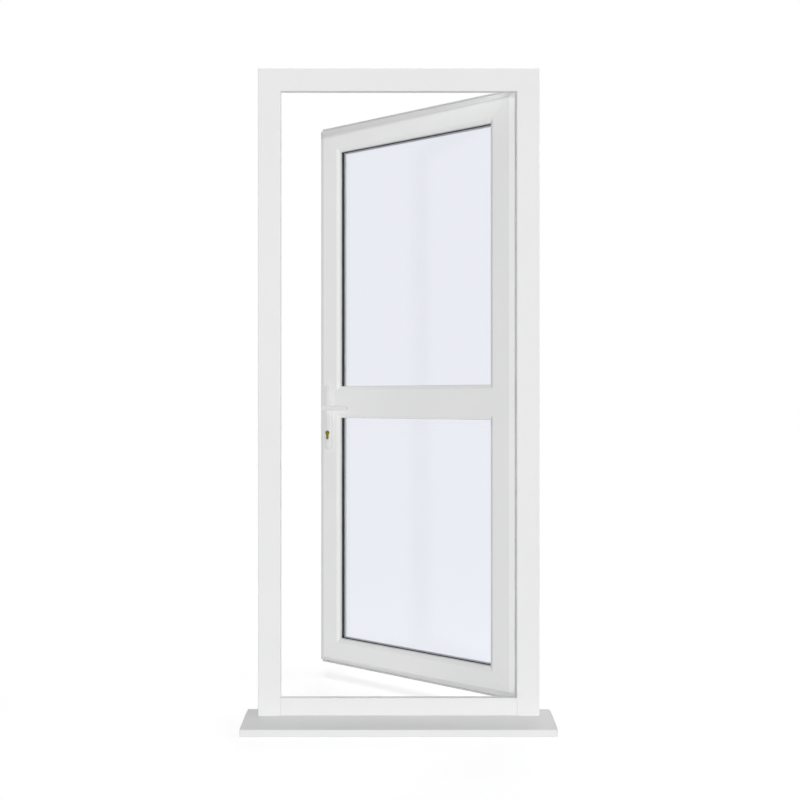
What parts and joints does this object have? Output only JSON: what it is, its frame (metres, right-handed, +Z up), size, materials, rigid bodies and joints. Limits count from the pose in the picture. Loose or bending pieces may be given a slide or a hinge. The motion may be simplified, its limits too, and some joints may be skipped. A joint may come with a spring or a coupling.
{
  "type": "upvc hinged door",
  "caption": "White plastic entrance door leaf with glazed panels and a mid rail, hung ajar in its outer frame on a projecting cill, with lever handles and a multipoint lock.",
  "frame": {"origin": "middle of the frame's width, at the frame's outside face, on the underside of the cill", "axes": "+Z up, +X towards the hinge side, +Y from outside to inside"},
  "size_m": [0.984, 0.6317, 2.1],
  "materials": {
    "upvc_white": "smooth low-gloss white",
    "grey_seal": "matt pale grey rubber",
    "bright_steel": "zinc plated",
    "hinge_white": "white powder coat",
    "handle_white": "white powder coat",
    "lock_brass": "dull brass",
    "clear_glass": "clear float glass",
    "spacer_black": "matt black",
    "nylon": "moulded plastic"
  },
  "bodies": {
    "frame": {"jamb_hinge_side": "upvc_white", "jamb_lock_side": "upvc_white", "frame_head": "upvc_white", "frame_threshold": "upvc_white", "frame_steels": "bright_steel", "frame_seal": "grey_seal", "cill": "upvc_white", "cill_cap_left": "upvc_white", "cill_cap_right": "upvc_white", "keep_centre": "bright_steel", "keep_hook_lower": "bright_steel", "keep_hook_upper": "bright_steel", "hinge_plate_lower": "hinge_white", "hinge_plate_middle": "hinge_white", "hinge_plate_upper": "hinge_white", "hinge_pins": "bright_steel"},
    "leaf": {"stile_hinge_side": "upvc_white", "stile_lock_side": "upvc_white", "rail_top": "upvc_white", "rail_bottom": "upvc_white", "rail_middle": "upvc_white", "leaf_steels": "bright_steel", "leaf_seal": "grey_seal", "lower_pane_outside": "clear_glass", "lower_spacer": "spacer_black", "lower_pane_inside": "clear_glass", "upper_pane_outside": "clear_glass", "upper_spacer": "spacer_black", "upper_pane_inside": "clear_glass", "outside_glazing_seals": "grey_seal", "inside_glazing_seals": "grey_seal", "lower_beads": "upvc_white", "upper_beads": "upvc_white", "glazing_packers": "nylon", "hinge_flag_lower": "hinge_white", "hinge_flag_middle": "hinge_white", "hinge_flag_upper": "hinge_white", "hinge_bushes": "nylon", "handle_plate_outside": "handle_white", "handle_plate_inside": "handle_white", "handle_screws": "bright_steel", "lock_faceplate": "bright_steel", "lock_case": "bright_steel", "hook_case_lower": "bright_steel", "hook_case_upper": "bright_steel", "cylinder_body": "lock_brass", "cylinder_screw": "bright_steel"},
    "lever_set": {"lever_outside": "handle_white", "lever_inside": "handle_white", "spindle": "bright_steel", "lock_follower": "lock_brass"},
    "latch": {"latch_bolt": "bright_steel"},
    "dead_bolt": {"deadbolt": "bright_steel"},
    "drive": {"drive_bar": "bright_steel"},
    "lower_hook": {"hook_lower": "bright_steel"},
    "upper_hook": {"hook_upper": "bright_steel"},
    "outside_plug": {"cylinder_plug_outside": "lock_brass", "cylinder_cam": "bright_steel"},
    "inside_plug": {"cylinder_plug_inside": "lock_brass"}
  },
  "joints": [
    {"name": "leaf_swing", "type": "hinge", "parent": "frame", "child": "leaf", "pos_m": [0.43, 0.0723, 1], "axis": [0, 0, -1], "range_deg": [-32.5, 67.5]},
    {"name": "lever_turn", "type": "hinge", "parent": "leaf", "child": "lever_set", "pos_m": [-0.2466, 0.47127, 1.011], "axis": [0.5373, 0.8434, 0], "range_deg": [0, 40], "stiffness_Nm_per_rad": 1.2, "springref_deg": -22.92},
    {"name": "latch_slide", "type": "slide", "parent": "leaf", "child": "latch", "axis": [0.8434, -0.5373, 0], "range_m": [0, 0.012]},
    {"name": "drive_slide", "type": "slide", "parent": "leaf", "child": "drive", "axis": [0, 0, 1], "range_m": [0, 0.02]},
    {"name": "key_turn", "type": "hinge", "parent": "leaf", "child": "outside_plug", "pos_m": [-0.2466, 0.47127, 0.919], "axis": [0.5373, 0.8434, 0], "range_deg": [0, 360]},
    {"name": "deadbolt_slide", "type": "slide", "parent": "leaf", "child": "dead_bolt", "axis": [-0.8434, 0.5373, 0], "range_m": [0, 0.02]},
    {"name": "lower_hook_turn", "type": "hinge", "parent": "leaf", "child": "lower_hook", "pos_m": [-0.26346, 0.48201, 0.4], "axis": [-0.5373, -0.8434, 0], "range_deg": [0, 90]},
    {"name": "upper_hook_turn", "type": "hinge", "parent": "leaf", "child": "upper_hook", "pos_m": [-0.26346, 0.48201, 1.6], "axis": [-0.5373, -0.8434, 0], "range_deg": [0, 90]},
    {"name": "inside_key_turn", "type": "hinge", "parent": "leaf", "child": "inside_plug", "pos_m": [-0.2466, 0.47127, 0.919], "axis": [0.5373, 0.8434, 0], "range_deg": [0, 360]}
  ],
  "couplings": [
    {"joint": "latch_slide", "follows": "lever_turn", "m_per_rad": 0.017188},
    {"joint": "key_turn", "follows": "drive_slide", "rad_per_m": 314.15},
    {"joint": "deadbolt_slide", "follows": "drive_slide", "ratio": 1},
    {"joint": "lower_hook_turn", "follows": "drive_slide", "rad_per_m": 78.53},
    {"joint": "upper_hook_turn", "follows": "drive_slide", "rad_per_m": 78.53}
  ]
}
